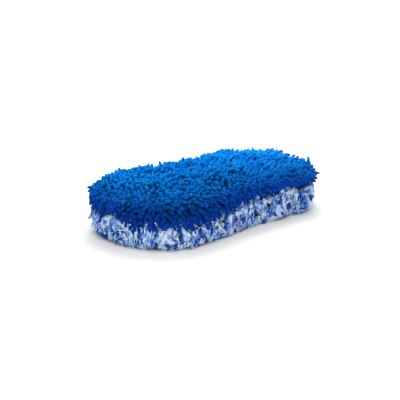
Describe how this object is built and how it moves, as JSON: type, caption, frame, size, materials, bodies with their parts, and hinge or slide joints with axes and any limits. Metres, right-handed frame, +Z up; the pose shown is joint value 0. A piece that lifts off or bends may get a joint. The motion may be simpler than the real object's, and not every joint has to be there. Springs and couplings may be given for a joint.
{
  "type": "wash mitt",
  "caption": "Two-sided car wash mitt: cut noodle pile above, fine plush pile below, foam padding and a hand pocket whose upper lip flexes open at one end.",
  "frame": {"origin": "centre of the underside, on the surface the mitt lies on", "axes": "+X along the length towards the pocket's mouth, +Y across the width, +Z up from the plush side to the noodle side"},
  "size_m": [0.255, 0.135, 0.052],
  "materials": {
    "noodle_pile": "thick cut noodles of bright blue microfibre",
    "plush_pile": "fine twisted fibres, white mixed with royal blue",
    "backing_cloth": "knitted blue ground that the pile is tufted through",
    "foam": "thin grey open-cell foam",
    "pocket_lining": "fine blue mesh lining",
    "binding": "ribbed blue edge tape",
    "elastic": "flat woven white elastic",
    "seam": "raw-edged knitted ground, folded in and sewn",
    "thread": "polyester sewing thread, overlocked and bar-tacked"
  },
  "bodies": {
    "mitt_body": {"plush_pile_panel": "plush_pile", "bottom_backing_cloth": "backing_cloth", "lower_foam_pad": "foam", "lower_pocket_lining": "pocket_lining", "lower_mouth_binding": "binding", "lower_wrist_elastic": "elastic", "noodle_pile_panel_body": "noodle_pile", "top_backing_cloth_body": "backing_cloth", "upper_foam_pad_body": "foam", "upper_pocket_lining_body": "pocket_lining", "lower_seam_allowance": "seam", "upper_seam_allowance": "seam", "overlock_thread": "thread", "corner_tack_near": "thread", "corner_tack_far": "thread"},
    "upper_lip": {"noodle_pile_panel_lip": "noodle_pile", "top_backing_cloth_lip": "backing_cloth", "upper_foam_pad_lip": "foam", "upper_pocket_lining_lip": "pocket_lining", "upper_mouth_binding": "binding", "upper_wrist_elastic": "elastic"}
  },
  "joints": [
    {"name": "mouth_lip_flex", "type": "hinge", "parent": "mitt_body", "child": "upper_lip", "pos_m": [0.062, 0, 0.0254], "axis": [0, -1, 0], "range_deg": [0, 30], "stiffness_Nm_per_rad": 0.1}
  ]
}
